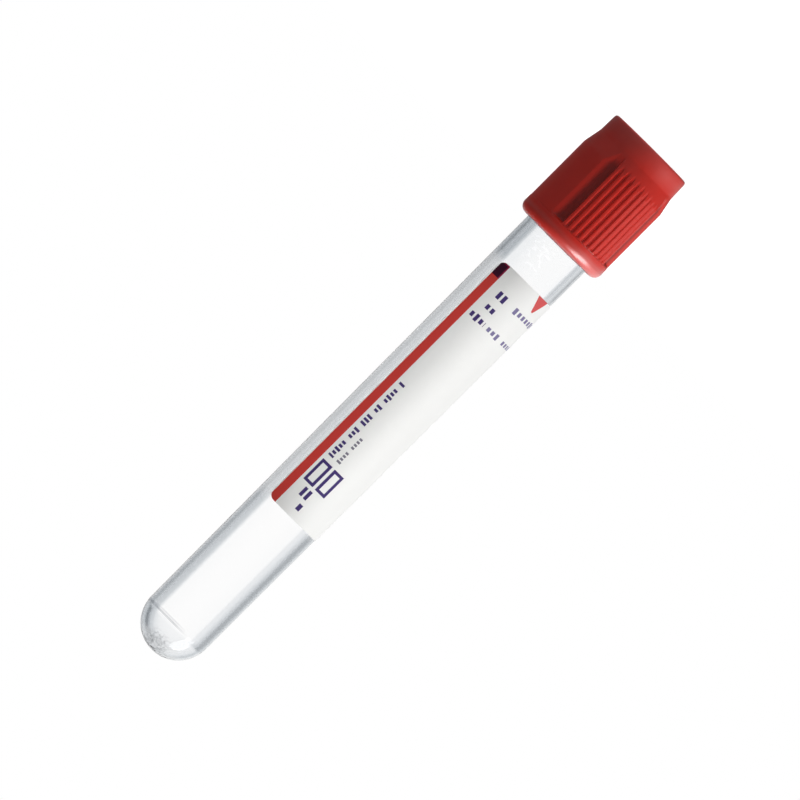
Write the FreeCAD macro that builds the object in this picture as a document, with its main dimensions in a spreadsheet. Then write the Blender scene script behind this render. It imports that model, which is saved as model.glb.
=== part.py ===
"""Blood collection tube of the 13 x 100 mm class, stood on its closure's flat top.

A clear round-bottomed tube, a wrapped label, and a closure that pulls off: a ribbed plastic shield
with the rubber stopper that it carries. On its side the tube would roll and its other end is round,
so it rests upside down. Millimetres, +Z up, with the origin on the bench in the tube's axis.

Every body is modelled about its own X axis, measured from the tip of the tube's round end towards
the closure, and one placement stands all of them up. Angles round the axis count from the front,
-Y, towards -X.
"""

import FreeCAD, Part
import os
import Sketcher
from FreeCAD import Vector

SIZES = (
    # name, millimetres or degrees, what it is
    ("tube_length", 100.0, "tip of the round end to the rim"),
    ("rim_diameter", 12.8, "tube, outside, at the rim"),
    ("base_diameter", 12.1, "tube, outside, where the round end starts"),
    ("wall", 1.1, "tube wall"),
    ("base_wall", 1.2, "tube wall at the tip"),
    ("rim_round", 0.3, "rounding of the rim's two edges"),
    ("label_start", 30.5, "tip of the round end to the label"),
    ("label_length", 52.7, "label, along the tube"),
    ("label_thickness", 0.1, "label"),
    ("label_angle", 280.0, "angle that the label covers"),
    ("label_edge_angle", -41.0, "where the label's striped edge stands"),
    ("label_corner", 1.6, "rounding of the label's corners at that edge"),
    ("skirt_overlap", 9.0, "how far the shield hangs down past the rim"),
    ("shield_height", 21.25, "shield, from its edge to its top"),
    ("skirt_clearance", 0.6, "rim to the inside of the skirt, on the radius"),
    ("shield_wall", 1.45, "skirt and barrel, from the inside to the ribs' tops"),
    ("band_height", 2.75, "lower band of the shield"),
    ("band_step", 0.05, "how far the lower band stands out past the ribs' tops"),
    ("shoulder_height", 3.0, "cone between the barrel and the collar"),
    ("shoulder_step", 0.6, "how far that cone draws in, on the radius"),
    ("collar_height", 3.5, "smooth collar round the shield's top"),
    ("collar_draft", 0.1, "how far the collar draws in to the top, on the radius"),
    ("collar_wall", 1.95, "collar, at the top"),
    ("edge_round", 1.1, "rounding of the skirt's outer edge"),
    ("top_round", 0.45, "rounding of the top's outer and inner edges"),
    ("shoulder_round", 0.8, "rounding of the shoulder's two edges"),
    ("ring_width", 1.2, "ring that holds the stopper, from the opening's wall to its hole"),
    ("ring_thickness", 1.5, "that ring"),
    ("rib_count", 10, "ribs in each of the two ribbed panels"),
    ("rib_pitch", 8.0, "angle from rib to rib"),
    ("panel_angle", 26.2, "where the middle of a ribbed panel stands"),
    ("gap_depth", 0.5, "gaps between the ribs"),
    ("gap_floor", 0.34, "width of a gap at its floor"),
    ("gap_mouth", 0.62, "width of a gap over the ribs"),
    ("end_gap_floor", 1.0, "wide gap that ends a panel, at its floor"),
    ("end_gap_mouth", 1.28, "wide gap that ends a panel, over the ribs"),
    ("plug_length", 7.0, "stopper inside the tube"),
    ("plug_clearance", 0.05, "plug to bore, on the radius"),
    ("plug_round", 0.6, "rounding of the plug's leading edge"),
    ("cavity_diameter", 6.4, "hollow under the plug"),
    ("cavity_depth", 3.0, "hollow under the plug"),
    ("flange_thickness", 2.8, "stopper flange on the tube's rim"),
    ("seat_clearance", 0.1, "stopper to shield, on the radius"),
    ("button_height", 5.2, "stopper above the shield's ring"),
    ("button_round", 0.4, "rounding of the stopper's outer edges"),
    ("well_diameter", 7.6, "needle well, at its mouth"),
    ("well_floor_diameter", 6.2, "needle well, at its floor"),
    ("well_depth", 3.6, "needle well"),
)

WORKED = (
    # name, how it follows from the sizes: places are along the axis from the round end's tip
    ("base_radius", "=Sizes.base_diameter / 2"),
    ("tube_slope", "=(Sizes.rim_diameter / 2 - base_radius) / (Sizes.tube_length - base_radius)"),
    ("bore_floor", "=base_radius - Sizes.wall"),
    ("bore_mouth", "=Sizes.rim_diameter / 2 - Sizes.wall"),
    ("bore_start", "=Sizes.base_wall + bore_floor"),
    ("bore_slope", "=(bore_mouth - bore_floor) / (Sizes.tube_length - bore_start)"),
    ("label_end", "=Sizes.label_start + Sizes.label_length"),
    ("label_start_radius", "=base_radius + (Sizes.label_start - base_radius) * tube_slope"),
    ("label_end_radius", "=base_radius + (label_end - base_radius) * tube_slope"),
    ("edge", "=Sizes.tube_length - Sizes.skirt_overlap"),
    ("band_end", "=edge + Sizes.band_height"),
    ("top", "=edge + Sizes.shield_height"),
    ("collar_start", "=top - Sizes.collar_height"),
    ("shoulder_start", "=collar_start - Sizes.shoulder_height"),
    ("ring_start", "=Sizes.tube_length + Sizes.flange_thickness"),
    ("ring_end", "=ring_start + Sizes.ring_thickness"),
    ("skirt_radius", "=Sizes.rim_diameter / 2 + Sizes.skirt_clearance"),
    ("barrel_radius", "=skirt_radius + Sizes.shield_wall"),
    ("band_radius", "=barrel_radius + Sizes.band_step"),
    ("collar_radius", "=barrel_radius - Sizes.shoulder_step"),
    ("top_radius", "=collar_radius - Sizes.collar_draft"),
    ("opening_radius", "=top_radius - Sizes.collar_wall"),
    ("ring_radius", "=opening_radius - Sizes.ring_width"),
    ("gap_radius", "=barrel_radius - Sizes.gap_depth"),
    ("half_panel", "=Sizes.rib_count * Sizes.rib_pitch / 2"),
    ("end_gap_turn", "=half_panel + (Sizes.end_gap_floor - Sizes.gap_floor) / 2 / gap_radius * 180 / pi"),
    ("plug_start", "=Sizes.tube_length - Sizes.plug_length"),
    ("plug_radius", "=bore_mouth - Sizes.plug_clearance"),
    ("plug_start_radius", "=plug_radius - Sizes.plug_length * bore_slope"),
    ("flange_radius", "=skirt_radius - Sizes.seat_clearance"),
    ("neck_radius", "=ring_radius - Sizes.seat_clearance"),
    ("button_radius", "=opening_radius - Sizes.seat_clearance"),
    ("button_top", "=ring_end + Sizes.button_height"),
)

# the body's X axis points down, its Z axis to the front
STOOD_UP = "placement(vector(0; 0; Worked.top); rotation(vector(1; 1; -1); 120))"
X_AXIS, Y_AXIS = range(-1, -3, -1)  # of a sketch, in its constraints
START, END, CENTRE = range(1, 4)  # points of an edge, in its constraints
SAME_PLACE = 1e-4  # how near two points count as one


def fill_sheet(doc, name, rows):
    """A spreadsheet with one named value in each row."""
    sheet = doc.addObject("Spreadsheet::Sheet", name)
    for number, (alias, value, *words) in enumerate(rows, 1):
        sheet.set(f"A{number}", words[0] if words else alias)
        sheet.set(f"B{number}", str(value))
        sheet.setAlias(f"B{number}", alias)
    doc.recompute()


def new_body(doc, label):
    """A body about its own X axis, stood up with the others."""
    body = doc.addObject("PartDesign::Body", label)
    body.Label = label
    body.setExpression("Placement", STOOD_UP)
    return body


def value_of(owner, formula):
    """The plain number that a formula of named sizes gives."""
    result = owner.evalExpression(formula)
    return float(getattr(result, "Value", result))


def origin_part(body, role):
    """A plane or an axis of the body's own origin."""
    return next(part for part in body.Origin.OriginFeatures if part.Role == role)


def hold(sketch, direction, edge, point, formula):
    """Ties how far a point lies from the sketch's origin in one direction to a formula."""
    if formula == "0":
        axis = Y_AXIS if direction == "DistanceX" else X_AXIS
        sketch.addConstraint(Sketcher.Constraint("PointOnObject", edge, point, axis))
        return
    distance = Sketcher.Constraint(direction, X_AXIS, START, edge, point, value_of(sketch, formula))
    number = sketch.addConstraint(distance)
    sketch.setExpression(f"Constraints[{number}]", formula)


def quarter_arc(start, end, direction, level):
    """The quarter circle from start to end whose centre lies at the given level in that direction."""
    along = direction == "DistanceX"
    centres = Vector(start.x, end.y, 0), Vector(end.x, start.y, 0)
    centre = min(centres, key=lambda place: abs((place.x if along else place.y) - level))
    slant = (start - centre + end - centre) * 0.5 ** 0.5
    return Part.Arc(start, centre + slant, end)


def outline(body, name, plane, corners, arcs=None, offset=None):
    """A closed sketch through corners, each a pair of formulas.

    Its edges are straight, but for those that arcs numbers by the corner they leave: quarter
    circles, each with a direction and a formula that place its centre.
    """
    sketch = body.newObject("Sketcher::SketchObject", name)
    sketch.AttachmentSupport = (origin_part(body, plane), [""])
    sketch.MapMode = "FlatFace"
    if offset:
        sketch.setExpression("AttachmentOffset", offset)
    arcs = arcs or {}
    places = [Vector(value_of(sketch, x), value_of(sketch, y), 0) for x, y in corners]
    edges = []
    for number, start in enumerate(places):
        end = places[(number + 1) % len(places)]
        shape = Part.LineSegment(start, end)
        if number in arcs:
            direction, level = arcs[number]
            shape = quarter_arc(start, end, direction, value_of(sketch, level))
        edge = sketch.addGeometry(shape)
        first = START if sketch.getPoint(edge, START).isEqual(start, SAME_PLACE) else END
        edges.append((edge, first, START + END - first))
    for number, (edge, _, last) in enumerate(edges):
        following, its_first, _ = edges[(number + 1) % len(edges)]
        sketch.addConstraint(Sketcher.Constraint("Coincident", edge, last, following, its_first))
        if number in arcs:
            direction, level = arcs[number]
            hold(sketch, direction, edge, CENTRE, level)
    for (edge, first, _), (along, out) in zip(edges, corners):
        hold(sketch, "DistanceX", edge, first, along)
        hold(sketch, "DistanceY", edge, first, out)
    return sketch


def turned(body, name, sketch, angle="360"):
    """The sketch turned about the body's axis."""
    feature = body.newObject("PartDesign::Revolution", name)
    feature.Profile = sketch
    feature.ReferenceAxis = (sketch, ["H_Axis"])
    feature.setExpression("Angle", angle)
    return feature


def rounded(body, name, edge_names, radius):
    """Rounds edges of the body as it stands."""
    base = body.Tip
    feature = body.newObject("PartDesign::Fillet", name)
    feature.Base = (base, edge_names)
    feature.setExpression("Radius", radius)
    return feature


def rings(body, places):
    """The names of the whole circular edges at pairs of place along the axis and radius."""
    body.Document.recompute()
    wanted = [(value_of(body, along), value_of(body, out)) for along, out in places]
    found = []
    for number, edge in enumerate(body.Tip.Shape.Edges, 1):
        if edge.isClosed() and not edge.Degenerated and isinstance(edge.Curve, Part.Circle):
            place, radius = edge.Curve.Center.x, edge.Curve.Radius
            if any(abs(place - x) + abs(radius - r) < SAME_PLACE for x, r in wanted):
                found.append(f"Edge{number}")
    if len(found) != len(places):
        raise ValueError(f"{body.Label}: {len(found)} of {len(places)} round edges found")
    return found


def make_tube(doc):
    """The clear tube: straight taper outside and in, round end, rounded rim."""
    body = new_body(doc, "tube")
    corners = [
        ("0", "0"),
        ("Worked.base_radius", "Worked.base_radius"),
        ("Sizes.tube_length", "Sizes.rim_diameter / 2"),
        ("Sizes.tube_length", "Worked.bore_mouth"),
        ("Worked.bore_start", "Worked.bore_floor"),
        ("Sizes.base_wall", "0"),
    ]
    domes = {0: ("DistanceY", "0"), 4: ("DistanceY", "0")}
    turned(body, "TubeWall", outline(body, "TubeSection", "XZ_Plane", corners, domes))
    rim = [("Sizes.tube_length", "Sizes.rim_diameter / 2"), ("Sizes.tube_length", "Worked.bore_mouth")]
    rounded(body, "Rim", rings(body, rim), "Sizes.rim_round")
    return body


def make_label(doc):
    """The label: a thin sheet wrapped on the tube's taper, open at the back, two corners rounded."""
    body = new_body(doc, "label")
    corners = [
        ("Sizes.label_start", "Worked.label_start_radius"),
        ("Sizes.label_start", "Worked.label_start_radius + Sizes.label_thickness"),
        ("Worked.label_end", "Worked.label_end_radius + Sizes.label_thickness"),
        ("Worked.label_end", "Worked.label_end_radius"),
    ]
    turn = "placement(vector(0; 0; 0); rotation(vector(1; 0; 0); Sizes.label_edge_angle))"
    section = outline(body, "LabelSection", "XZ_Plane", corners, offset=turn)
    turned(body, "LabelSheet", section, "Sizes.label_angle")
    cut_corner(body, "StartCorner", "Sizes.label_start", "+", turn)
    cut_corner(body, "EndCorner", "Worked.label_end", "-", turn)
    return body


def cut_corner(body, name, end, inward, turn):
    """Rounds the sheet's corner at one end of its striped edge, cutting squarely through that edge."""
    tangent = f"{end} {inward} Sizes.label_corner"
    beyond = f"{end} {inward} -Sizes.label_corner"
    corners = [
        (end, "-Sizes.label_corner"),
        (tangent, "0"),
        (tangent, "Sizes.label_corner"),
        (beyond, "Sizes.label_corner"),
        (beyond, "-Sizes.label_corner"),
    ]
    section = outline(body, f"{name}Section", "XY_Plane", corners, {0: ("DistanceX", tangent)}, turn)
    cut = body.newObject("PartDesign::Pocket", name)
    cut.Profile = section
    cut.Reversed = True
    cut.setExpression("Length", "Sizes.rim_diameter")


def make_shield(doc):
    """The shield: skirt, lower band, ribbed barrel, shoulder and collar, and the stopper's ring inside."""
    body = new_body(doc, "shield")
    corners = [
        ("Worked.edge", "Worked.skirt_radius"),
        ("Worked.edge", "Worked.band_radius"),
        ("Worked.band_end", "Worked.band_radius"),
        ("Worked.band_end", "Worked.barrel_radius"),
        ("Worked.shoulder_start", "Worked.barrel_radius"),
        ("Worked.collar_start", "Worked.collar_radius"),
        ("Worked.top", "Worked.top_radius"),
        ("Worked.top", "Worked.opening_radius"),
        ("Worked.ring_end", "Worked.opening_radius"),
        ("Worked.ring_end", "Worked.ring_radius"),
        ("Worked.ring_start", "Worked.ring_radius"),
        ("Worked.ring_start", "Worked.skirt_radius"),
    ]
    turned(body, "ShieldWall", outline(body, "ShieldSection", "XZ_Plane", corners))
    rounded(body, "SkirtEdge", rings(body, [corners[1]]), "Sizes.edge_round")
    rounded(body, "Shoulder", rings(body, corners[4:6]), "Sizes.shoulder_round")
    rounded(body, "Top", rings(body, corners[6:8]), "Sizes.top_round")
    gap = cut_gap(body, "Gap", "Sizes.gap_floor", "Sizes.gap_mouth", "Worked.half_panel - Sizes.rib_pitch")
    repeat(body, gap, "Sizes.rib_count - 1", "(Sizes.rib_count - 2) * Sizes.rib_pitch")
    end_gap = cut_gap(body, "EndGap", "Sizes.end_gap_floor", "Sizes.end_gap_mouth", "Worked.end_gap_turn")
    repeat(body, end_gap, "2", "2 * Worked.end_gap_turn")
    return body


def cut_gap(body, name, floor, mouth, turn_back):
    """A gap beside a rib, from the lower band up until the shoulder runs out over its floor.

    Neither the cut nor its pattern is refined, which spoils the shape where a gap meets the barrel's seam.
    """
    reach = "(Worked.barrel_radius + Sizes.gap_depth)"  # as far above the ribs as the floor is below
    half_floor, half_reach = f"{floor} / 2", f"({mouth} - {floor} / 2)"
    corners = [
        (f"-{half_floor}", "Worked.gap_radius"),
        (half_floor, "Worked.gap_radius"),
        (half_reach, reach),
        (f"-{half_reach}", reach),
    ]
    turn = f"Sizes.panel_angle - ({turn_back})"
    offset = f"placement(vector(0; 0; Worked.band_end); rotation(vector(0; 0; 1); {turn}))"
    section = outline(body, f"{name}Section", "YZ_Plane", corners, offset=offset)
    cut = body.newObject("PartDesign::Pocket", name)
    cut.Profile = section
    cut.Reversed = True
    cut.Refine = False
    cut.setExpression("Length", "Worked.collar_start - Worked.band_end")
    return cut


def repeat(body, cut, count, angle):
    """The cut repeated across its panel, and again on the opposite panel."""
    across = body.newObject("PartDesign::PolarPattern", f"{cut.Label}Across")
    opposite = body.newObject("PartDesign::PolarPattern", f"{cut.Label}Opposite")
    for pattern in (across, opposite):
        pattern.Axis = (origin_part(body, "X_Axis"), [""])
    across.setExpression("Occurrences", count)
    across.setExpression("Angle", angle)
    across.Mode = "Extent"
    opposite.Occurrences = 2
    opposite.Angle = 360
    both = body.newObject("PartDesign::MultiTransform", f"{cut.Label}s")
    both.Originals = [cut]
    both.Transformations = [across, opposite]
    both.Refine = False
    body.Tip = both


def make_stopper(doc):
    """The stopper: hollow plug, flange on the rim, neck through the shield's ring, button with its well."""
    body = new_body(doc, "stopper")
    corners = [
        ("Worked.plug_start + Sizes.cavity_depth", "0"),
        ("Worked.plug_start + Sizes.cavity_depth", "Sizes.cavity_diameter / 2"),
        ("Worked.plug_start", "Sizes.cavity_diameter / 2"),
        ("Worked.plug_start", "Worked.plug_start_radius"),
        ("Sizes.tube_length", "Worked.plug_radius"),
        ("Sizes.tube_length", "Worked.flange_radius"),
        ("Worked.ring_start", "Worked.flange_radius"),
        ("Worked.ring_start", "Worked.neck_radius"),
        ("Worked.ring_end", "Worked.neck_radius"),
        ("Worked.ring_end", "Worked.button_radius"),
        ("Worked.button_top", "Worked.button_radius"),
        ("Worked.button_top", "Sizes.well_diameter / 2"),
        ("Worked.button_top - Sizes.well_depth", "Sizes.well_floor_diameter / 2"),
        ("Worked.button_top - Sizes.well_depth", "0"),
    ]
    turned(body, "StopperBody", outline(body, "StopperSection", "XZ_Plane", corners))
    rounded(body, "PlugEdge", rings(body, [corners[3]]), "Sizes.plug_round")
    rounded(body, "OuterEdges", rings(body, [corners[5], corners[10], corners[11]]), "Sizes.button_round")
    return body


def check(doc, bodies):
    """Stops if anything in the document failed, or a body isn't one valid solid."""
    doc.recompute()
    failed = [item.Label for item in doc.Objects if {"Invalid", "Error"} & set(item.State)]
    if failed:
        raise ValueError(f"failed: {failed}")
    for body in bodies:
        shape = body.Shape
        if shape.isNull() or not shape.isValid() or len(shape.Solids) != 1:
            raise ValueError(f"{body.Label} isn't one valid solid")


def main():
    doc = FreeCAD.newDocument("BloodCollectionTube")
    fill_sheet(doc, "Sizes", SIZES)
    fill_sheet(doc, "Worked", WORKED)
    bodies = [make_tube(doc), make_label(doc), make_shield(doc), make_stopper(doc)]
    check(doc, bodies)
    os.makedirs("parts", exist_ok=True)
    for body in bodies:
        body.Shape.exportStep(f"parts/{body.Label}.step")
        print(f"{body.Label}: {body.Shape.Volume:.1f} mm3")


main()
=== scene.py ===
"""Looks of a blood collection tube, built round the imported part.

The tube stands upside down on the flat top of its closure, its axis on Z and its front on -Y.
Lengths are millimetres, and MM turns them into metres. Turns are degrees about the axis, from the
front towards -X. Heights are above the bench.
"""

import math

import bmesh
import bpy
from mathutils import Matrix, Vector


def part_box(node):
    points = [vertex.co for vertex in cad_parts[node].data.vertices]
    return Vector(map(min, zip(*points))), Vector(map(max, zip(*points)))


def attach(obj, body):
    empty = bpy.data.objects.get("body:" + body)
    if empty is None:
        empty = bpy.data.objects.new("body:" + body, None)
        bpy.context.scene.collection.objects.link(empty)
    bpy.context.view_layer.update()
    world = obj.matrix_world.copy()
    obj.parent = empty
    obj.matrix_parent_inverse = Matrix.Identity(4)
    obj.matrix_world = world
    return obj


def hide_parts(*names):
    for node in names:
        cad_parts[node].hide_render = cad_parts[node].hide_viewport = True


MM = 0.001

# tube
WALL = 1.1
BASE_WALL = 1.2
TUBE_SIDES = 160
DOME_RADIUS = 6.05
DOME_STEP = 0.02  # the round end is that much slimmer than the body beyond its parting ring
PARTING_ANGLE = 6  # where the parting ring stands on the round end
POLE_ANGLE = 87  # last ring before the bore's pole
RIM_ROUND = 0.3
GATE_RADIUS = 0.6  # shallow mark of the mould's gate at the tip
GATE_DEPTH = 0.05

# label
LABEL_ANGLE = 275.6
LABEL_EDGE_TURN = -44.1  # where the striped edge stands, at its end near the tip
LABEL_SKEW = 1.9  # that edge's turn towards the front on its way to the closure
LABEL_THICKNESS = 0.09
LABEL_GAP = 0.01  # glue between film and tube
LABEL_CORNER = 1.6
STRIPE_WIDTH = 1.72
EDGE_MARGIN = 0.31  # white left beside the stripe
END_MARGIN = 0.1  # white left at the stripe's end by the closure
LABEL_STRIPS = 96  # flat strips that the wrapped sheet bends at

# shield
BAND_HEIGHT = 2.75
SHOULDER_HEIGHT = 3.0
COLLAR_HEIGHT = 3.5
BARREL_RADIUS = 8.45
COLLAR_RADIUS = 7.85
TOP_RADIUS = 7.75
SKIRT_RADIUS = 7.0
OPENING_RADIUS = 5.8
RING_RADIUS = 4.6
RING_THICKNESS = 1.5
FLANGE_THICKNESS = 2.8
EDGE_ROUND = 1.4
TOP_ROUND = 0.45
BAND_ROUND = 0.12
CHAMFER = 0.15  # small bevel of hidden edges, also the stopper's
RING_FILLET = 0.2  # where the ring meets the skirt
SHIELD_SIDES = 720
RUN_IN_RINGS = (0.02, 0.12, 0.22, 0.34, 0.46, 0.58)  # how far below the band; gaps begin here
GAP_START = 0.05  # also below the band: rings nearer to it stay round
GAP_RUN_IN = 0.4  # height over which a gap reaches its depth

# ribs: two panels, each of narrow gaps between ribs with a wide gap at either end
PANEL_TURN = 26.2
RIB_PITCH = 8
RIB_COUNT = 10
HALF_PANEL = RIB_PITCH * RIB_COUNT / 2
GAP_DEPTH = 0.27
GAP_FADE = 0.7  # share of that depth lost on the way to the panel's end towards -X
GAP_HALF = 1.2  # half a narrow gap's flat floor
END_GAP_DEPTH = 0.5
END_GAP_START = 2  # how far short of the half panel the wide gap begins
END_GAP_TURN = 7.1  # how far beyond the half panel its floor ends
END_SLOPE = 9  # turn over which it then rises
# a rib's edge: how far beyond the gap's floor, and what share of its depth is left there
RIB_EDGE = ((0.1, 1.0), (0.6, 0.75), (1.1, 0.22), (1.6, 0.07), (2.1, 0.015))

# stopper
STOPPER_SIDES = 128
PLUG_ROUND = 0.6
CAVITY_RADIUS = 3.2
CAVITY_DEPTH = 3.0
WELL_RADIUS = 3.8
WELL_FLOOR_RADIUS = 3.1
WELL_DEPTH = 3.6
SEAT_CLEARANCE = 0.1
PLUG_CLEARANCE = 0.05
PLUG_DRAFT = 0.06
BUTTON_ROUND = 0.4
WELL_ROUND = 0.3
CAVITY_ROUND = 0.6
LIP_ROUND = 0.2
POLE_RING = 0.5  # first ring round a pole

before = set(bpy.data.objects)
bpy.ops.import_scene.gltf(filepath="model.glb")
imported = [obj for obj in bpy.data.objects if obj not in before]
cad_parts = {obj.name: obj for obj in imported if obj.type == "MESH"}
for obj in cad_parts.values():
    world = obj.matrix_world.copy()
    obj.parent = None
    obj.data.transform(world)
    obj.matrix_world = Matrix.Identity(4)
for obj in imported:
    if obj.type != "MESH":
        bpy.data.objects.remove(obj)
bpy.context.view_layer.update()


def heights(node):
    """Lowest and highest point of a piece of the frame."""
    low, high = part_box(node)
    return low.z / MM, high.z / MM


RIM, TIP = heights("tube")
LABEL_LOW, LABEL_HIGH = heights("label")
TOP, SKIRT_EDGE = heights("shield")
BUTTON_TOP, PLUG_END = heights("stopper")
RIM_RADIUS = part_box("tube")[1].x / MM
BAND_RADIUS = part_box("shield")[1].x / MM


# ---- modelling ----

def deselect():
    bpy.ops.object.select_all(action="DESELECT")


def pick(piece):
    """Makes a piece the active one and the only one selected."""
    deselect()
    piece.select_set(True)
    bpy.context.view_layer.objects.active = piece


def active(name):
    """The object that the last operator made, named."""
    piece = bpy.context.object
    piece.name = name
    piece.data.name = name
    return piece


def arc(centre, radius, first, last, steps):
    """Ring places along an arc: angles from straight out towards straight up."""
    out, height = centre
    places = []
    for step in range(steps + 1):
        angle = math.radians(first + (last - first) * step / steps)
        places.append((out + radius * math.cos(angle), height + radius * math.sin(angle)))
    return places


def line(start, end, steps):
    """Ring places along a straight wall, without its start."""
    return [
        tuple(a + (b - a) * step / steps for a, b in zip(start, end))
        for step in range(1, steps + 1)
    ]


def turned(name, rings, around, turn=0):
    """A body of revolution: a circle drawn out from ring to ring, each a radius and a height.

    A first and last ring of no radius close in a pole; otherwise the ends meet.
    """
    deselect()
    poles = rings[0][0] == 0
    body = rings[1:-1] if poles else rings
    radius, height = body[0]
    bpy.ops.mesh.primitive_circle_add(
        vertices=around,
        radius=radius * MM,
        location=(0, 0, height * MM),
        fill_type="TRIFAN" if poles else "NOTHING",
    )
    piece = active(name)
    bpy.ops.object.transform_apply(location=True)
    bpy.ops.object.mode_set(mode="EDIT")
    bpy.ops.mesh.select_all(action="SELECT")
    if poles:
        bpy.ops.mesh.region_to_loop()
    for next_radius, next_height in body[1:]:
        step = {"value": (0, 0, (next_height - height) * MM)}
        bpy.ops.mesh.extrude_edges_move(TRANSFORM_OT_translate=step)
        scale = next_radius / radius
        centre = (0, 0, next_height * MM)
        bpy.ops.transform.resize(value=(scale, scale, 1), center_override=centre)
        radius, height = next_radius, next_height
    if poles:
        bpy.ops.mesh.extrude_edges_move()
        bpy.ops.mesh.merge(type="CENTER")
    bpy.ops.mesh.select_all(action="SELECT")
    bpy.ops.mesh.remove_doubles(threshold=0.0005 * MM)
    bpy.ops.mesh.normals_make_consistent(inside=False)
    bpy.ops.object.mode_set(mode="OBJECT")
    if turn:
        piece.rotation_euler.z = math.radians(turn)
        bpy.ops.object.transform_apply(rotation=True)
    return piece


def smooth(piece, angle):
    """Smooth shading, with a hard edge where faces meet at more than an angle."""
    pick(piece)
    bpy.ops.object.shade_smooth_by_angle(angle=math.radians(angle))


def turn_of(place):
    """The turn of a point about the axis."""
    return math.degrees(math.atan2(-place.x, -place.y)) % 360


def tube_radius(height):
    """Outside of the tube's straight taper."""
    share = (height - RIM) / (TIP - DOME_RADIUS - RIM)
    return RIM_RADIUS + (DOME_RADIUS - RIM_RADIUS) * share


def make_tube():
    """The clear tube, outside from the tip to the rim and back up inside."""
    dome = DOME_RADIUS - DOME_STEP
    dome_centre = TIP - DOME_RADIUS
    gate_edge = math.degrees(math.acos(GATE_RADIUS / dome))
    gate_height = TIP - DOME_STEP - GATE_DEPTH
    outside = [
        (0, gate_height),
        (GATE_RADIUS / 3, gate_height),
        (GATE_RADIUS * 0.8, gate_height),
        *arc((0, dome_centre), dome, gate_edge, PARTING_ANGLE, 30),
        *arc((0, dome_centre), DOME_RADIUS, PARTING_ANGLE - 1, 0, 3),
    ]
    outside += line(outside[-1], (tube_radius(RIM + RIM_ROUND), RIM + RIM_ROUND), 24)
    rim_outer = (RIM_RADIUS - RIM_ROUND, RIM + RIM_ROUND)
    mouth = RIM_RADIUS - WALL
    rim_inner = (mouth + RIM_ROUND, RIM + RIM_ROUND)
    rim = arc(rim_outer, RIM_ROUND, 0, -90, 6)[1:] + arc(rim_inner, RIM_ROUND, -90, -180, 6)
    bore = DOME_RADIUS - WALL
    bore_centre = TIP - BASE_WALL - bore
    inside = line(rim[-1], (bore, bore_centre), 24)
    inside += arc((0, bore_centre), bore, 0, POLE_ANGLE, 30)[1:]
    inside.append((0, TIP - BASE_WALL))
    tube = turned("clear_tube", outside + rim + inside, TUBE_SIDES)
    smooth(tube, angle=30)
    return tube


def make_stopper():
    """The rubber stopper: button with its needle well, neck, flange, and hollow plug."""
    ring_low = RIM - FLANGE_THICKNESS - RING_THICKNESS
    flange_low = RIM - FLANGE_THICKNESS
    button = OPENING_RADIUS - SEAT_CLEARANCE
    neck = RING_RADIUS - SEAT_CLEARANCE
    flange = SKIRT_RADIUS - SEAT_CLEARANCE
    plug = RIM_RADIUS - WALL - PLUG_CLEARANCE
    plug_tip = plug - PLUG_DRAFT
    well_floor = BUTTON_TOP + WELL_DEPTH
    cavity = PLUG_END - CAVITY_DEPTH
    rings = [
        (0, well_floor),
        (POLE_RING, well_floor),
        (WELL_FLOOR_RADIUS - WELL_ROUND, well_floor),
        *arc((WELL_FLOOR_RADIUS - WELL_ROUND, well_floor - WELL_ROUND), WELL_ROUND, 90, 0, 5),
        *arc((WELL_RADIUS + BUTTON_ROUND, BUTTON_TOP + BUTTON_ROUND), BUTTON_ROUND, 180, 270, 6),
        *arc((button - BUTTON_ROUND, BUTTON_TOP + BUTTON_ROUND), BUTTON_ROUND, -90, 0, 6),
        (button, ring_low - CHAMFER),
        (button - CHAMFER, ring_low),
        (neck, ring_low),
        (neck, flange_low),
        *arc((flange - BUTTON_ROUND, flange_low + BUTTON_ROUND), BUTTON_ROUND, -90, 0, 6),
        (flange, RIM - CHAMFER),
        (flange - CHAMFER, RIM),
        (plug, RIM),
        (plug_tip, PLUG_END - PLUG_ROUND),
        *arc((plug_tip - PLUG_ROUND, PLUG_END - PLUG_ROUND), PLUG_ROUND, 10, 90, 6),
        *arc((CAVITY_RADIUS + LIP_ROUND, PLUG_END - LIP_ROUND), LIP_ROUND, 90, 180, 4),
        *arc((CAVITY_RADIUS - CAVITY_ROUND, cavity + CAVITY_ROUND), CAVITY_ROUND, 0, -90, 6),
        (POLE_RING, cavity),
        (0, cavity),
    ]
    stopper = turned("rubber_stopper", rings, STOPPER_SIDES)
    smooth(stopper, angle=30)
    return stopper


def gap_depth(turn):
    """How deep a gap between ribs is at a turn: flat floor, steep wall, the rib's rounded edge.

    The narrow gaps grow shallower towards one end of their panel. The wide gap that ends a panel
    rises in a slope on its outer side.
    """
    offset = (turn - PANEL_TURN + 90) % 180 - 90
    from_centre = abs(offset)
    wide_end = HALF_PANEL + END_GAP_TURN
    if from_centre > wide_end:
        return END_GAP_DEPTH * max(0.0, 1.0 - (from_centre - wide_end) / END_SLOPE)
    if from_centre > HALF_PANEL - END_GAP_START:
        depth = END_GAP_DEPTH
        beyond = HALF_PANEL - GAP_HALF - from_centre
    else:
        depth = GAP_DEPTH * (1 - GAP_FADE * max(0.0, offset) / HALF_PANEL)
        from_gap = abs((from_centre + RIB_PITCH / 2) % RIB_PITCH - RIB_PITCH / 2)
        beyond = from_gap - GAP_HALF
    for edge, share in RIB_EDGE:
        if beyond <= edge:
            return share * depth
    return 0


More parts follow.
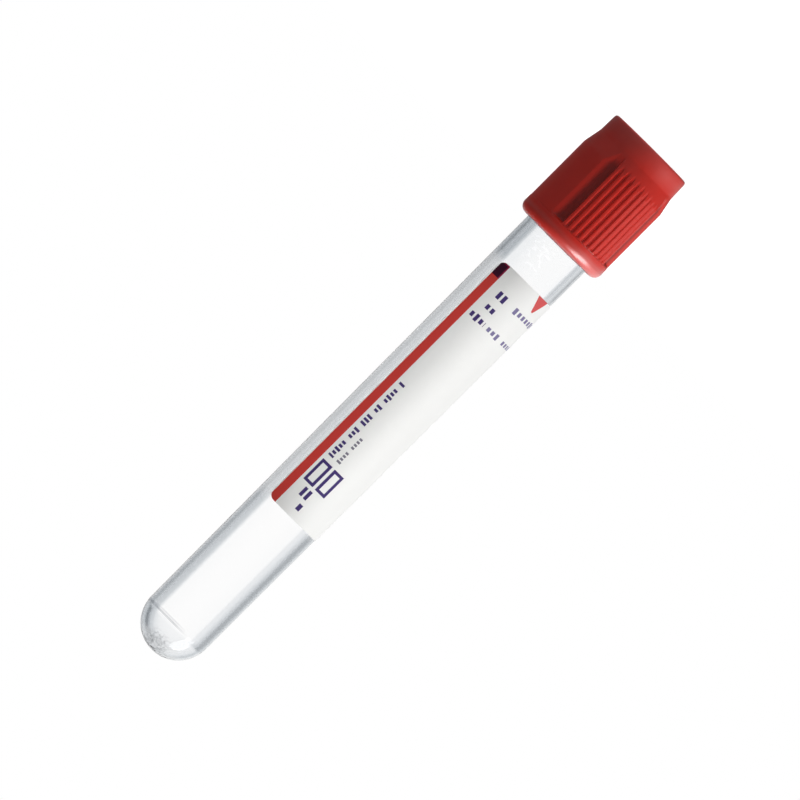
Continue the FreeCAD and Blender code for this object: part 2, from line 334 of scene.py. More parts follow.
def make_shield():
    """The shield: ribbed skirt, band, shoulder and collar, and inside the ring for the stopper."""
    band_low = SKIRT_EDGE - BAND_HEIGHT
    shoulder_high = TOP + COLLAR_HEIGHT + SHOULDER_HEIGHT
    collar_high = TOP + COLLAR_HEIGHT
    ring_low = RIM - FLANGE_THICKNESS - RING_THICKNESS
    ring_high = RIM - FLANGE_THICKNESS
    skirt_lip = [
        (SKIRT_RADIUS, SKIRT_EDGE - CHAMFER),
        (SKIRT_RADIUS + CHAMFER, SKIRT_EDGE),
    ]
    band = [
        *arc((BAND_RADIUS - EDGE_ROUND, SKIRT_EDGE - EDGE_ROUND), EDGE_ROUND, 90, 0, 12),
        (BAND_RADIUS, band_low + CHAMFER),
        *arc((BAND_RADIUS - BAND_ROUND, band_low + BAND_ROUND), BAND_ROUND, 0, -60, 3),
    ]
    barrel = [(BARREL_RADIUS, band_low - below) for below in RUN_IN_RINGS]
    barrel += line(barrel[-1], (BARREL_RADIUS, shoulder_high + 0.2), 10)
    # the shoulder, its two bends eased
    shoulder = [
        (BARREL_RADIUS - 0.005, shoulder_high + 0.07),
        (BARREL_RADIUS - 0.02, shoulder_high - 0.08),
    ]
    shoulder_foot = (COLLAR_RADIUS + 0.03, collar_high + 0.15)
    shoulder += line((BARREL_RADIUS, shoulder_high), shoulder_foot, 12)[1:]
    shoulder += [(COLLAR_RADIUS + 0.008, collar_high), (COLLAR_RADIUS - 0.002, collar_high - 0.15)]
    collar = line(shoulder[-1], (TOP_RADIUS + 0.01, TOP + TOP_ROUND), 3)
    inside = [
        *arc((TOP_RADIUS - TOP_ROUND, TOP + TOP_ROUND), TOP_ROUND, 0, -90, 6)[1:],
        *arc((OPENING_RADIUS + TOP_ROUND, TOP + TOP_ROUND), TOP_ROUND, -90, -180, 6),
        (OPENING_RADIUS, ring_low - CHAMFER),
        (OPENING_RADIUS - CHAMFER, ring_low),
        (RING_RADIUS + CHAMFER, ring_low),
        (RING_RADIUS, ring_low + CHAMFER),
        (RING_RADIUS, ring_high - CHAMFER),
        (RING_RADIUS + CHAMFER, ring_high),
        (SKIRT_RADIUS - RING_FILLET, ring_high),
        (SKIRT_RADIUS, ring_high + RING_FILLET),
        (SKIRT_RADIUS, SKIRT_EDGE - CHAMFER),
    ]
    rings = skirt_lip + band + barrel + shoulder + collar + inside
    shield = turned("ribbed_shield", rings, SHIELD_SIDES, turn=-PANEL_TURN)
    press_gaps(shield, band_low - GAP_START, collar_high)
    smooth(shield, angle=42)
    return shield


def press_gaps(shield, high, low):
    """Presses the gaps between the ribs into the barrel and the shoulder."""
    pick(shield)
    bpy.ops.object.mode_set(mode="EDIT")
    mesh = bmesh.from_edit_mesh(shield.data)
    levels = {}
    for point in mesh.verts:
        radius = point.co.xy.length / MM
        height = point.co.z / MM
        if low < height < high and radius > COLLAR_RADIUS:
            run_in = min(1.0, (high - height) / GAP_RUN_IN)
            eased = run_in * (2 - run_in)
            floor = BARREL_RADIUS - gap_depth(turn_of(point.co)) * eased
            if floor < radius:
                levels.setdefault((round(radius, 3), round(floor, 3)), []).append(point)
    for (radius, floor), points in levels.items():
        bpy.ops.mesh.select_all(action="DESELECT")
        for point in points:
            point.select = True
        mesh.select_flush_mode()
        scale = floor / radius
        bpy.ops.transform.resize(value=(scale, scale, 1), center_override=(0, 0, 0))
    bpy.ops.mesh.select_all(action="DESELECT")
    bpy.ops.object.mode_set(mode="OBJECT")


def label_size():
    """The flat sheet's width round the tube and its length."""
    middle_radius = (tube_radius(LABEL_LOW) + tube_radius(LABEL_HIGH)) / 2
    return math.radians(LABEL_ANGLE) * middle_radius, LABEL_HIGH - LABEL_LOW


def make_label():
    """The label: a flat sheet with two rounded corners, cut into strips and wrapped on the tube."""
    deselect()
    width, length = label_size()
    bpy.ops.mesh.primitive_plane_add(size=1, location=(width / 2, length / 2, 0))
    label = active("wrapped_label")
    label.scale = (width, length, 1)
    bpy.ops.object.transform_apply(location=True, scale=True)
    for vertex in label.data.vertices:
        vertex.select = vertex.co.x < width / 2
    bpy.ops.object.mode_set(mode="EDIT")
    bpy.ops.mesh.select_mode(type="VERT")
    bpy.ops.mesh.bevel(
        offset=LABEL_CORNER, offset_type="OFFSET", segments=10, profile=0.5, affect="VERTICES"
    )
    for strip in range(1, LABEL_STRIPS):
        bpy.ops.mesh.select_all(action="SELECT")
        place = (width * strip / LABEL_STRIPS, 0, 0)
        bpy.ops.mesh.bisect(plane_co=place, plane_no=(1, 0, 0))
    bpy.ops.object.mode_set(mode="OBJECT")
    lay_out(label, width, length)
    for vertex in label.data.vertices:
        height = LABEL_LOW + vertex.co.y
        skew = LABEL_SKEW * (1 - vertex.co.y / length)
        turn = math.radians(LABEL_EDGE_TURN + skew + vertex.co.x / width * LABEL_ANGLE)
        radius = tube_radius(height) + LABEL_GAP
        vertex.co = Vector((-math.sin(turn) * radius, -math.cos(turn) * radius, height)) * MM
    bpy.ops.object.mode_set(mode="EDIT")
    bpy.ops.mesh.select_all(action="SELECT")
    bpy.ops.mesh.flip_normals()
    bpy.ops.object.mode_set(mode="OBJECT")
    modifier = label.modifiers.new("thickness", "SOLIDIFY")
    modifier.thickness = LABEL_THICKNESS * MM
    modifier.offset = 1
    bpy.ops.object.modifier_apply(modifier="thickness")
    smooth(label, angle=40)
    return label


def lay_out(sheet, width, length):
    """The flat sheet's own map, from 0 to 1 across and along."""
    layer = sheet.data.uv_layers[0]
    layer.name = "sheet"
    for loop in sheet.data.loops:
        place = sheet.data.vertices[loop.vertex_index].co
        layer.data[loop.index].uv = (place.x / width, place.y / length)


# ---- finishes ----

WHITE = (1, 1, 1, 1)
BLUER = 0.14  # how much bluer the darkest grey of a ramp is


class Nodes:
    """A node tree and short ways to add to it."""

    def __init__(self, tree):
        self.tree = tree

    def node(self, kind, sockets=None, **settings):
        made = self.tree.nodes.new(f"ShaderNode{kind}")
        for name, value in settings.items():
            setattr(made, name, value)
        for name, value in (sockets or {}).items():
            self.put(made.inputs[name], value)
        return made

    def put(self, socket, value):
        """A value or another node's output into a socket."""
        if isinstance(value, bpy.types.NodeSocket):
            self.tree.links.new(value, socket)
        else:
            socket.default_value = value

    def math(self, operation, *values, clamp=False):
        made = self.node("Math", operation=operation, use_clamp=clamp)
        for socket, value in zip(made.inputs, values):
            self.put(socket, value)
        return made.outputs[0]

    def times(self, first, second):
        return self.math("MULTIPLY", first, second)

    def off(self, value, middle):
        """How far a value is from a middle one, either way."""
        return self.math("ABSOLUTE", self.math("SUBTRACT", value, middle))

    def mix(self, share, first, second, blend="MIX"):
        """One colour turning into another."""
        sockets = {"Factor": share, 6: first, 7: second}
        return self.node("Mix", sockets, data_type="RGBA", blend_type=blend).outputs[2]

    def multiply(self, share, first, second):
        """One colour darkened by another."""
        return self.mix(share, first, second, "MULTIPLY")

    def between(self, value, zone, origin=0):
        """0 at a zone's first end to 1 at its second, lengths in millimetres from an origin."""
        first, second = ((origin + end) * MM for end in zone)
        sockets = {"Value": value, "From Min": first, "From Max": second}
        return self.node("MapRange", sockets).outputs["Result"]

    def spread(self, value, low, high):
        """A 0 to 1 value turned into low to high."""
        sockets = {"Value": value, "To Min": low, "To Max": high}
        return self.node("MapRange", sockets).outputs["Result"]

    def ramp(self, value, stops):
        """A grey ramp through pairs of place and brightness, bluer where it is darker."""
        made = self.node("ValToRGB", {"Fac": value})
        elements = made.color_ramp.elements
        while len(elements) < len(stops):
            elements.new(1.0)
        for element, (place, brightness) in zip(elements, stops):
            blue = BLUER * (1 - brightness)
            element.position = place
            element.color = (brightness * (1 - blue), brightness, brightness * (1 + blue), 1)
        return made.outputs["Color"]


class Finish(Nodes):
    """A material: its shader, and patterns on object coordinates."""

    def __init__(self, name):
        self.material = bpy.data.materials.new(name)
        self.material.use_nodes = True
        super().__init__(self.material.node_tree)
        self.shader = self.tree.nodes["Principled BSDF"]

    def set(self, sockets):
        """Values or other nodes' outputs into the shader."""
        for name, value in sockets.items():
            self.put(self.shader.inputs[name], value)

    def where(self):
        """Object coordinates."""
        return self.node("TexCoord").outputs["Object"]

    def places(self):
        """The place across, the place in depth and the height."""
        apart = self.node("SeparateXYZ", {"Vector": self.where()})
        return [apart.outputs[axis] for axis in "XYZ"]

    def noise(self, size, detail=2.0, stretch=(1, 1, 1)):
        """Noise of a grain size in millimetres."""
        mapped = self.node("Mapping", {"Vector": self.where(), "Scale": stretch})
        sockets = {"Vector": mapped.outputs["Vector"], "Scale": 1 / (size * MM), "Detail": detail}
        return self.node("TexNoise", sockets).outputs["Fac"]

    def creases(self, size, width):
        """Thin winding lines, 1 along their middle, where a noise crosses its mean."""
        wave = self.off(self.noise(size), 0.5)
        return self.spread(self.math("DIVIDE", wave, width, clamp=True), 1.0, 0.0)

    def bump(self, height, depth):
        """A relief of a depth in millimetres."""
        made = self.node("Bump", {"Height": height, "Distance": depth * MM})
        self.set({"Normal": made.outputs["Normal"]})


# painted shade of the clear wall by how slantwise it is met, from 0 face on to 1 edge on: grey
# bands that stand for dark surroundings seen through it, with a lit and a shaded copy for the two
# sides
PAINTED_WALL_SHADES = {
    "body_lit": (
        (0.0, 1.0), (0.14, 0.97), (0.167, 0.93), (0.195, 0.75), (0.27, 0.66), (0.31, 0.55),
        (0.375, 0.39), (0.42, 0.25), (0.47, 0.17), (0.53, 0.165), (0.59, 0.235), (0.667, 0.35),
        (0.80, 0.66),
    ),
    "body_shaded": (
        (0.0, 1.0), (0.19, 0.97), (0.214, 0.88), (0.245, 0.62), (0.28, 0.44), (0.38, 0.37),
        (0.43, 0.37), (0.466, 0.30), (0.53, 0.20), (0.59, 0.24), (0.667, 0.38), (0.80, 0.95),
    ),
    "end_lit": (
        (0.0, 0.94), (0.14, 0.90), (0.24, 0.84), (0.33, 0.80), (0.40, 0.77), (0.44, 0.74),
        (0.48, 0.66), (0.53, 0.52), (0.575, 0.40), (0.62, 0.37), (0.665, 0.50), (0.72, 0.64),
        (0.83, 0.80), (0.95, 0.92),
    ),
    "end_shaded": (
        (0.0, 0.94), (0.14, 0.86), (0.22, 0.70), (0.27, 0.50), (0.32, 0.43), (0.375, 0.26),
        (0.41, 0.15), (0.445, 0.10), (0.495, 0.13), (0.53, 0.30), (0.60, 0.50), (0.66, 0.64),
        (0.74, 0.70), (0.95, 0.9),
    ),
    "neck_lit": (
        (0.0, 0.98), (0.17, 0.98), (0.211, 0.96), (0.294, 0.91), (0.32, 0.70), (0.345, 0.51),
        (0.39, 0.36), (0.404, 0.38), (0.474, 0.45), (0.52, 0.44), (0.559, 0.37), (0.62, 0.20),
        (0.673, 0.12), (0.80, 0.42),
    ),
    "neck_shaded": (
        (0.0, 0.96), (0.05, 0.92), (0.12, 0.87), (0.176, 0.87), (0.211, 0.83), (0.25, 0.48),
        (0.294, 0.29), (0.345, 0.25), (0.404, 0.30), (0.474, 0.23), (0.559, 0.10), (0.60, 0.15),
        (0.673, 0.30), (0.80, 0.6),
    ),
}

# zones of the tube's wall, each from where it begins to where it is full
# across:
SIDE_ZONE = (-1.0, 1.0)  # from the lit side to the shaded one
END_SIDE_ZONE = (-2.5, 3.5)  # the same on the round end
RING_SIDE_ZONE = (-2.5, 0.5)
GATE_MIDDLE, GATE_HALF_ZONE = 0.4, (2.6, 1.4)  # the zone lies to either side of the middle
BEADS_MIDDLE, BEADS_HALF_ZONE = 1.0, (2.2, 1.4)
# above the tip:
END_ZONE = (-5.15, -4.75)  # the round end's tints
TIP_ZONE = (-2.6, -1.0)
GATE_ZONE = (-2.6, -1.9)
RING_FROM, RING_TO = (-5.78, -5.68), (-5.34, -5.44)  # dark line at the parting
# above the label's edges:
NECK_ZONE = (0.2, -0.2)  # the neck's tints
LABEL_FROM, LABEL_TO = (-1, 1), (1, -1)
# above the bench:
NECKWARD_ZONE = (45, 22)  # darkens on the way to the neck
BEADS_FROM, BEADS_TO = (22.0, 22.8), (28.2, 27.2)

PLASTIC_IOR = 1.57
TIP_PAINTED_LIGHT = 0.3
LABEL_BACK_PAINTED_LIGHT = 0.2
NECKWARD_PAINTED_SHADE = (0.45, 0.46, 0.48, 1)
RING_PAINTED_SHADE = (0.66, 0.67, 0.69, 1)
CREASE_SHADE = (0.35, 0.36, 0.37, 1)
SCAR_SHADE = (0.25, 0.26, 0.27, 1)
COATING_TINT = (0.99, 0.99, 0.99, 1)

# relief inside the tube, as shares of its depth, and where the noise stands out as beads
RELIEF = 0.05
COATING_HEIGHT = 0.06
BEADS_HEIGHT = 0.3
BEADS_ABOVE = 0.56
BEADS_STEEP = 4.0


def painted_wall_shade(finish, slant, across, height):
    """The clear wall's painted shade in its body, round end and neck, each with a painted lit and
    shaded side.
    """
    tints = {part: finish.ramp(slant, stops) for part, stops in PAINTED_WALL_SHADES.items()}
    # painted shade: the lit copy on -X, the shaded copy on +X
    side = finish.between(across, SIDE_ZONE)
    tint = finish.mix(side, tints["body_lit"], tints["body_shaded"])

    end_side = finish.between(across, END_SIDE_ZONE)
    round_end = finish.mix(end_side, tints["end_lit"], tints["end_shaded"])
    # painted light: the round end's painted shade made paler near the tip
    near_tip = finish.times(finish.between(height, TIP_ZONE, TIP), TIP_PAINTED_LIGHT)
    round_end = finish.mix(near_tip, round_end, WHITE)
    tint = finish.mix(finish.between(height, END_ZONE, TIP), tint, round_end)

    # painted shade, deeper on the way to the neck where the wall is met at a slant
    neckward = finish.times(finish.between(height, NECKWARD_ZONE), slant)
    tint = finish.multiply(neckward, tint, NECKWARD_PAINTED_SHADE)
    neck = finish.mix(side, tints["neck_lit"], tints["neck_shaded"])
    return finish.mix(finish.between(height, NECK_ZONE, LABEL_LOW), tint, neck)


def wall_marks(finish, tint, across, height):
    """Marks on the painted shade: painted light over the label's back, a painted dark line at the
    parting, the gate's creases.
    """
    # painted light: the wall paler where the label's back lies behind it
    over_label = finish.times(
        finish.between(height, LABEL_FROM, LABEL_LOW), finish.between(height, LABEL_TO, LABEL_HIGH)
    )
    tint = finish.mix(finish.times(over_label, LABEL_BACK_PAINTED_LIGHT), tint, WHITE)
    # painted shade: a dark line standing for the parting ring seen through the wall, on one side
    # only
    ring = finish.times(
        finish.between(height, RING_FROM, TIP), finish.between(height, RING_TO, TIP)
    )
    ring = finish.times(ring, finish.between(across, RING_SIDE_ZONE))
    tint = finish.multiply(ring, tint, RING_PAINTED_SHADE)
    off_gate = finish.off(across, GATE_MIDDLE * MM)
    gate = finish.times(
        finish.between(height, GATE_ZONE, TIP), finish.between(off_gate, GATE_HALF_ZONE)
    )
    return finish.multiply(finish.times(finish.creases(1.0, 0.05), gate), tint, CREASE_SHADE)


def clear_plastic():
    """Clear moulded plastic: water-white face on, grey-blue where the wall is met at a slant.

    The grey-blue is painted shade, and the side towards +X shows a darker painted band than the
    other, a shaded copy beside a lit one. The round end and the neck have painted shades of their
    own.
    """
    finish = Finish("clear_plastic")
    slant = finish.node("LayerWeight", {"Blend": 0.5}).outputs["Facing"]
    across, _, height = finish.places()
    tint = painted_wall_shade(finish, slant, across, height)
    tint = wall_marks(finish, tint, across, height)
    speckle = finish.spread(finish.noise(0.4, detail=1.0), 0.92, 1.08)
    tint = finish.multiply(slant, tint, speckle)
    # light on its way to a matt surface behind passes untinted
    path = finish.node("LightPath").outputs
    as_light = finish.math("GREATER_THAN", path["Diffuse Depth"], 0.5)
    finish.set({
        "Base Color": finish.mix(as_light, tint, WHITE),
        "Transmission Weight": 1.0,
        "IOR": PLASTIC_IOR,
        "Specular Tint": (0.3, 0.3, 0.3, 1),
        "Roughness": 0.02,
    })
    finish.bump(finish.noise(2.5, stretch=(1, 1, 0.15)), 0.006)
    return finish.material


def coated_wall():
    """The tube's inside: a fine sprayed coating, beads in the neck, creases under the gate."""
    finish = Finish("coated_wall")
    across, _, height = finish.places()
    under_gate = finish.between(height, (GATE_ZONE[0], -BASE_WALL), TIP)
    crease = finish.times(finish.creases(1.1, 0.06), under_gate)
    finish.set({
        "Base Color": finish.mix(crease, COATING_TINT, SCAR_SHADE),
        "Transmission Weight": 1.0,
        "IOR": PLASTIC_IOR,
        "Roughness": 0.03,
    })
    beads_height = finish.times(
        finish.between(height, BEADS_FROM), finish.between(height, BEADS_TO)
    )
    off_beads = finish.off(across, BEADS_MIDDLE * MM)
    in_beads = finish.times(finish.between(off_beads, BEADS_HALF_ZONE), beads_height)
    peaks = finish.math("SUBTRACT", finish.noise(0.8, detail=0.0), BEADS_ABOVE)
    beads = finish.math("MULTIPLY", peaks, BEADS_STEEP, clamp=True)
    beads = finish.times(finish.times(beads, in_beads), BEADS_HEIGHT)
    coating = finish.math("MULTIPLY_ADD", finish.noise(0.6), COATING_HEIGHT, beads)
    scar = finish.times(finish.noise(0.5, detail=1.0), under_gate)
    finish.bump(finish.math("ADD", coating, scar), RELIEF)
    return finish.material


REDS = ((0.63, 0.013, 0.004, 1), (0.69, 0.018, 0.006, 1))
GAP_PAINTED_SHADE = (0.5, 0.5, 0.5, 1)
GAP_PAINTED_SHADE_DEPTH = (0.2, END_GAP_DEPTH - 0.05)
BARREL_FROM, BARREL_TO = (0, 0.1), (0, -0.05)  # above the shoulder's foot and the band
SKIRT_SHEEN_ZONE, SKIRT_SHEEN = (-2.2, -1.6), 0.8  # above the skirt's edge
TOP_SHEEN_ZONE, TOP_SHEEN = (3.6, 0.6), 0.7  # above the closure's flat top


def red_plastic():
    """Moulded closure plastic: satin, with a fine grain and slight shade changes.

    The gaps' floors get painted shade, deepest in the wide gaps, and both ends of the closure have
    a softer, wider sheen.
    """
    finish = Finish("red_plastic")
    colour = finish.mix(finish.noise(3.0, detail=3.0), *REDS)
    across, back, height = finish.places()
    level = finish.node("CombineXYZ", {"X": across, "Y": back}).outputs["Vector"]
    radius = finish.node("VectorMath", {0: level}, operation="LENGTH").outputs["Value"]
    collar_high = TOP + COLLAR_HEIGHT
    band_low = SKIRT_EDGE - BAND_HEIGHT
    fall = finish.between(height, (SHOULDER_HEIGHT, 0), collar_high)
    wall = finish.spread(fall, BARREL_RADIUS * MM, COLLAR_RADIUS * MM)
    # painted shade on the gaps' floors, darker where a gap is deeper
    recess_shade = finish.between(finish.math("SUBTRACT", wall, radius), GAP_PAINTED_SHADE_DEPTH)
    on_barrel = finish.times(
        finish.between(height, BARREL_FROM, collar_high),
        finish.between(height, BARREL_TO, band_low),
    )
    colour = finish.multiply(finish.times(recess_shade, on_barrel), colour, GAP_PAINTED_SHADE)
    skirt_sheen = finish.between(height, SKIRT_SHEEN_ZONE, SKIRT_EDGE)
    top_sheen = finish.between(height, TOP_SHEEN_ZONE, TOP)
    sheen = finish.math(
        "ADD", finish.times(skirt_sheen, SKIRT_SHEEN), finish.times(top_sheen, TOP_SHEEN)
    )
    finish.set({
        "Base Color": colour,
        "Roughness": finish.spread(finish.noise(0.8), 0.29, 0.36),
        "Specular IOR Level": 0.85,
        "Coat Weight": sheen,
        "Coat Roughness": 0.45,
        "Coat IOR": 1.9,
    })
    finish.bump(finish.noise(0.12), 0.004)
    return finish.material


def stopper_rubber():
    """Matt rubber with a fine dusty grain."""
    finish = Finish("stopper_rubber")
    grain = finish.noise(1.2, detail=3.0)
    finish.set({
        "Base Color": finish.mix(grain, (0.30, 0.03, 0.025, 1), (0.40, 0.05, 0.04, 1)),
        "Roughness": 0.7,
    })
    finish.bump(finish.noise(0.15), 0.008)
    return finish.material


INDIGO = (0.055, 0.032, 0.16, 1)
FADED_INDIGO = (0.20, 0.175, 0.33, 1)
GREY_INK = (0.2, 0.19, 0.24, 1)
LABEL_WHITES = ((0.875, 0.875, 0.86, 1), (0.90, 0.90, 0.885, 1))
MARGIN_WHITE = (0.98, 0.98, 0.98, 1)
BACK_WHITES = ((0.93, 0.93, 0.93, 1), (0.97, 0.97, 0.97, 1))
BACK_PAINTED_GLOW = 0.45  # stands for the light that comes through the thin film
STRIPE_RED = (0.62, 0.05, 0.04, 1)
STRIPE_END_RED = (0.30, 0.010, 0.060, 1)
STRIPE_END_DARK = (0.045, 0.004, 0.020, 1)
STRIPE_END = 2.75  # how long its dark end is
STRIPE_END_RIM = 0.25
ARROW_RED = (0.64, 0.09, 0.09, 1)
ARROW_MIDDLE = 9.7
ARROW_HALF = 1.4
ARROW_HEIGHT = 2.85
ARROW_TIP = 0.2  # half the arrow's blunt tip

# rows of marks: across, along, pitch, whether they run along, ink
ROWS = (
    ((2.25, 5.3), (3.8, 5.2), 1.0, False, INDIGO),
    ((5.9, 14.0), (3.9, 5.1), 1.0, False, FADED_INDIGO),
    ((2.25, 5.3), (6.45, 7.75), 1.0, False, INDIGO),
    ((2.25, 5.3), (8.9, 10.2), 0.95, False, INDIGO),
    ((5.9, 14.0), (9.0, 10.1), 0.95, False, FADED_INDIGO),
    ((2.3, 3.35), (25.1, 41.4), 0.72, True, INDIGO),
    ((4.05, 4.85), (35.9, 41.4), 0.62, True, GREY_INK),
    ((3.4, 6.2), (47.5, 49.2), 0.95, False, INDIGO),
    ((3.4, 5.9), (49.8, 51.5), 1.2, False, INDIGO),
)
FRAMES_ACROSS = ((2.25, 4.35), (4.85, 6.95))
FRAMES_ALONG = (42.4, 46.9)
FRAME_LINE = 0.5

# marks: blocks left out, and which of the rest are tall, by chance; sizes are shares of the row
LEFT_OUT = 0.16
SHORT = 0.62
SHORT_HALF = 0.34
TALL_EXTRA = 0.16
BLOCK = (0.12, 0.74)  # a block's start and end in its pitch
ROW_SEED = 7.3  # gives each row marks of its own


class Print(Finish):
    """A finish on the flat label, with fields in millimetres.

    Across counts from the stripe's outer side, along from the end by the closure.
    """

    def __init__(self, name, width, length):
        super().__init__(name)
        sheet = self.node("UVMap", uv_map="sheet").outputs["UV"]
        place = self.node("SeparateXYZ", {"Vector": sheet}).outputs
        self.across = self.math("SUBTRACT", self.times(place["X"], width), EDGE_MARGIN)
        self.along = self.times(place["Y"], length)

    def within(self, value, ends):
        """1 between two values, else 0."""
        low, high = ends
        return self.math("LESS_THAN", self.off(value, (low + high) / 2), (high - low) / 2)

    def field(self, across, along):
        """A plain rectangle."""
        return self.times(self.within(self.across, across), self.within(self.along, along))

    def marks(self, across, along, pitch, sideways):
        """A row of small blocks of uneven height with gaps between the groups, instead of words."""
        run, rise = (self.along, self.across) if sideways else (self.across, self.along)
        (start, _), (low, high) = (along, across) if sideways else (across, along)
        steps = self.math("DIVIDE", self.math("SUBTRACT", run, start), pitch)
        number = self.math("ADD", self.math("FLOOR", steps), low * ROW_SEED + start)
        chance = self.node("TexWhiteNoise", {"W": number}, noise_dimensions="1D").outputs["Value"]
        shown = self.math("GREATER_THAN", chance, LEFT_OUT)
        tall = self.math("GREATER_THAN", chance, SHORT)
        span = high - low
        reach = self.math("MULTIPLY_ADD", tall, span * TALL_EXTRA, span * SHORT_HALF)
        block = self.math("LESS_THAN", self.off(rise, (low + high) / 2), reach)
        body = self.within(self.math("FRACT", steps), BLOCK)
        return self.times(self.times(self.field(across, along), shown), self.times(block, body))


def inset(ends, margin):
    return ends[0] + margin, ends[1] - margin


def label_film(width, length):
    """White label film: red edge stripe with a dark end, a fill arrow, and rows of marks."""
    finish = Print("label_film", width, length)
    colour = finish.mix(finish.noise(1.5, detail=4.0), *LABEL_WHITES)
    for across, along, pitch, sideways, ink in ROWS:
        colour = finish.mix(finish.marks(across, along, pitch, sideways), colour, ink)
    for across in FRAMES_ACROSS:
        outer = finish.field(across, FRAMES_ALONG)
        inner = finish.field(inset(across, FRAME_LINE), inset(FRAMES_ALONG, FRAME_LINE))
        colour = finish.mix(finish.math("SUBTRACT", outer, inner), colour, INDIGO)
    colour = finish.mix(finish.math("LESS_THAN", finish.across, 0), colour, MARGIN_WHITE)
    for across, along, ink in (
        ((0, STRIPE_WIDTH), (END_MARGIN, length), STRIPE_RED),
        ((0, STRIPE_WIDTH), (END_MARGIN, STRIPE_END), STRIPE_END_RED),
        (
            (0, STRIPE_WIDTH - STRIPE_END_RIM),
            (END_MARGIN + STRIPE_END_RIM, STRIPE_END),
            STRIPE_END_DARK,
        ),
    ):
        colour = finish.mix(finish.field(across, along), colour, ink)
    slope = finish.times(finish.along, -(ARROW_HALF - ARROW_TIP) / ARROW_HEIGHT)
    half = finish.math("ADD", slope, ARROW_HALF)
    narrow = finish.math("LESS_THAN", finish.off(finish.across, ARROW_MIDDLE), half)
    arrow = finish.times(narrow, finish.math("LESS_THAN", finish.along, ARROW_HEIGHT))
    finish.set({
        "Base Color": finish.mix(arrow, colour, ARROW_RED),
        "Roughness": 0.55,
        "Specular IOR Level": 0.3,
    })
    finish.bump(finish.noise(0.4, detail=3.0), 0.003)
    return finish.material


def label_back():
    """The film's glued side, bare white, with a painted glow for the light that comes through the
    thin film.
    """
    finish = Finish("label_back")
    finish.set({
        "Base Color": finish.mix(finish.noise(0.7, detail=4.0), *BACK_WHITES),
        "Roughness": 0.8,
        "Emission Color": (1, 1, 0.98, 1),
        "Emission Strength": BACK_PAINTED_GLOW,
    })
    return finish.material


def coat(piece, *materials):
    piece.data.materials.clear()
    for material in materials:
        piece.data.materials.append(material)


# ---- studio ----

FIELD = 126.9  # what the camera sees across, at the axis
LENS = 800
SENSOR = 36
ROLL = 135.06
AIM = (0.07, 56.38)  # place across and height that the camera looks at
LAMP_DISTANCE = 1.5  # metres, as are the lamps' sizes
AMBIENT = 0.115
PANEL_WAY = (-0.8, 0.6, 0)  # where gloss finds the world white
PANEL_EDGE = (0.1, 0.9)
PANEL_DARK = 0.03  # and how bright it finds the rest

BENCH_SIZE = 3  # metres
BENCH_DROP = 0.02
BENCH_GREY = (0.25, 0.25, 0.25, 1)
BENCH_IN_GLOSS = (0.03, 0.03, 0.03, 1)
FAR_ZONE = (60, 300)  # out from the axis, where its glow turns full
NEAR_GLOW = 0.82
GLOSS_GLOW = 0.1
UNDER_ZONE = (8.6, 7.6)  # inwards: the bench gives the object less light outside the closure
BOUNCE = 0.14


def make_camera():
    """Level with the tube's middle and far off, rolled so that the closure points up and right."""
    data = bpy.data.cameras.new("camera")
    data.lens = LENS
    data.sensor_width = SENSOR
    data.clip_start = 0.1
    data.clip_end = 20
    camera = bpy.data.objects.new("camera", data)
    bpy.context.scene.collection.objects.link(camera)
    distance = FIELD * LENS / SENSOR
    camera.location = Vector((AIM[0], -distance, AIM[1])) * MM
    camera.rotation_euler = (math.radians(90), math.radians(ROLL), 0)
    bpy.context.scene.camera = camera


def toward(turn, lift):
    """The direction at a turn about the axis, lifted from level."""
    turn, lift = math.radians(turn), math.radians(lift)
    level = math.cos(lift)
    return Vector((-math.sin(turn) * level, -math.cos(turn) * level, math.sin(lift)))


def make_lamp(name, turn, lift, power, size=(1.0, 1.0), distance=LAMP_DISTANCE, in_gloss=False):
    """A soft oval lamp turned to the tube's middle, unseen by the eye and through clear plastic."""
    data = bpy.data.lights.new(name, "AREA")
    data.shape = "ELLIPSE"
    data.energy = power
    data.size, data.size_y = size
    lamp = bpy.data.objects.new(name, data)
    bpy.context.scene.collection.objects.link(lamp)
    way = toward(turn, lift)
    lamp.location = Vector((0, 0, (TOP + TIP) / 2 * MM)) + way * distance
    lamp.rotation_euler = way.to_track_quat("Z", "Y").to_euler()
    lamp.visible_camera = False
    lamp.visible_transmission = False
    lamp.visible_glossy = in_gloss
    return data


def make_world():
    """White to the eye and through clear plastic, dim as light, and in gloss white on one side."""
    world = bpy.data.worlds.new("studio")
    world.use_nodes = True
    bpy.context.scene.world = world
    nodes = Nodes(world.node_tree)
    way = nodes.node("TexCoord").outputs["Generated"]
    sideways = nodes.node("VectorMath", {0: way, 1: PANEL_WAY}, operation="DOT_PRODUCT")
    sockets = {
        "Value": sideways.outputs["Value"],
        "From Min": PANEL_EDGE[0],
        "From Max": PANEL_EDGE[1],
        "To Min": PANEL_DARK,
    }
    panel = nodes.node("MapRange", sockets, interpolation_type="SMOOTHSTEP").outputs["Result"]
    path = nodes.node("LightPath").outputs
    in_gloss = path["Is Glossy Ray"]
    seen = nodes.math("MAXIMUM", path["Is Camera Ray"], path["Is Transmission Ray"])
    white = nodes.math("MAXIMUM", seen, nodes.times(in_gloss, panel))
    not_as_light = nodes.math("MAXIMUM", seen, in_gloss)
    as_light = nodes.math("MULTIPLY_ADD", not_as_light, -AMBIENT, AMBIENT)
    background = world.node_tree.nodes["Background"]
    nodes.put(background.inputs["Color"], WHITE)
    nodes.put(background.inputs["Strength"], nodes.math("ADD", white, as_light))


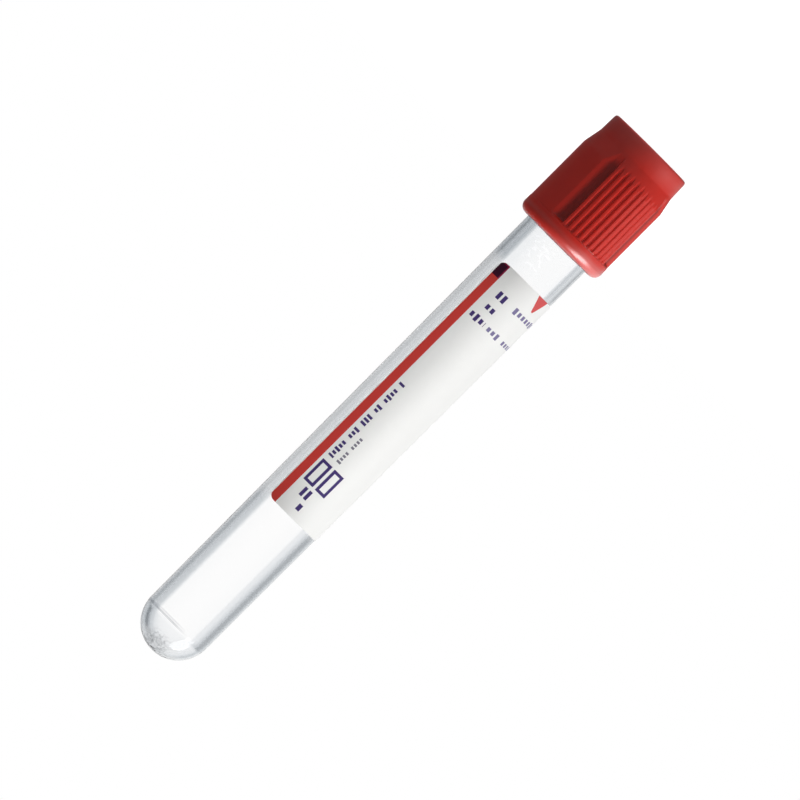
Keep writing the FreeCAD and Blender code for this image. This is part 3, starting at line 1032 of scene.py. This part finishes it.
def make_floor():
    """A pale bench top, white to the eye, that keeps the tube's shadow."""
    deselect()
    bpy.ops.mesh.primitive_plane_add(size=BENCH_SIZE, location=(0, 0, -BENCH_DROP * MM))
    floor = active("bench")
    bpy.ops.object.transform_apply(location=True)
    finish = Finish("bench_top")
    away = finish.node("VectorMath", {0: finish.where()}, operation="LENGTH").outputs["Value"]
    path = finish.node("LightPath").outputs
    in_gloss = path["Is Glossy Ray"]
    seen = finish.math("MAXIMUM", path["Is Camera Ray"], path["Is Transmission Ray"])
    seen = finish.math("MAXIMUM", seen, finish.times(in_gloss, GLOSS_GLOW))
    bounce = finish.spread(finish.between(away, UNDER_ZONE), BOUNCE, 1.0)
    seen = finish.math("MAXIMUM", seen, finish.times(path["Is Diffuse Ray"], bounce))
    glow = finish.spread(finish.between(away, FAR_ZONE), NEAR_GLOW, 1.0)
    finish.set({
        "Base Color": finish.mix(in_gloss, BENCH_GREY, BENCH_IN_GLOSS),
        "Roughness": 0.8,
        "Specular IOR Level": 0.1,
        "Emission Color": WHITE,
        "Emission Strength": finish.times(seen, glow),
    })
    coat(floor, finish.material)


def main():
    tube = make_tube()
    label = make_label()
    shield = make_shield()
    stopper = make_stopper()

    coat(tube, clear_plastic(), coated_wall())
    dome_centre = (TIP - DOME_RADIUS) * MM
    for face in tube.data.polygons:
        middle = Vector((0, 0, min(face.center.z, dome_centre)))
        inside = face.normal.dot(face.center - middle) < 0
        face.material_index = int(inside)
    coat(label, label_film(*label_size()), label_back())
    for face in label.data.polygons:
        outward = face.center.xy.normalized()
        glued = face.normal.xy.dot(outward) < -0.5
        face.material_index = int(glued)
    coat(shield, red_plastic())
    coat(stopper, stopper_rubber())

    dress = (
        (tube, "tube", "tube", "clear_plastic"),
        (label, "tube", "label", "label_film"),
        (shield, "closure", "shield", "red_plastic"),
        (stopper, "closure", "stopper", "stopper_rubber"),
    )
    for piece, body, node, slot in dress:
        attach(piece, body)
        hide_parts(node)

    make_floor()
    make_lamp("key", turn=70, lift=38, power=26, size=(1.0, 1.6), in_gloss=True)
    make_lamp("back", turn=200, lift=30, power=13)
    make_lamp("top", turn=-60, lift=82, power=4.5)
    fill = make_lamp("fill", turn=-35, lift=0, power=0.0035, size=(0.05, 0.056), distance=0.3)
    fill.shape = "RECTANGLE"
    fill.spread = math.radians(5)
    make_world()
    make_camera()
    bpy.context.scene.view_settings.view_transform = "Standard"


main()
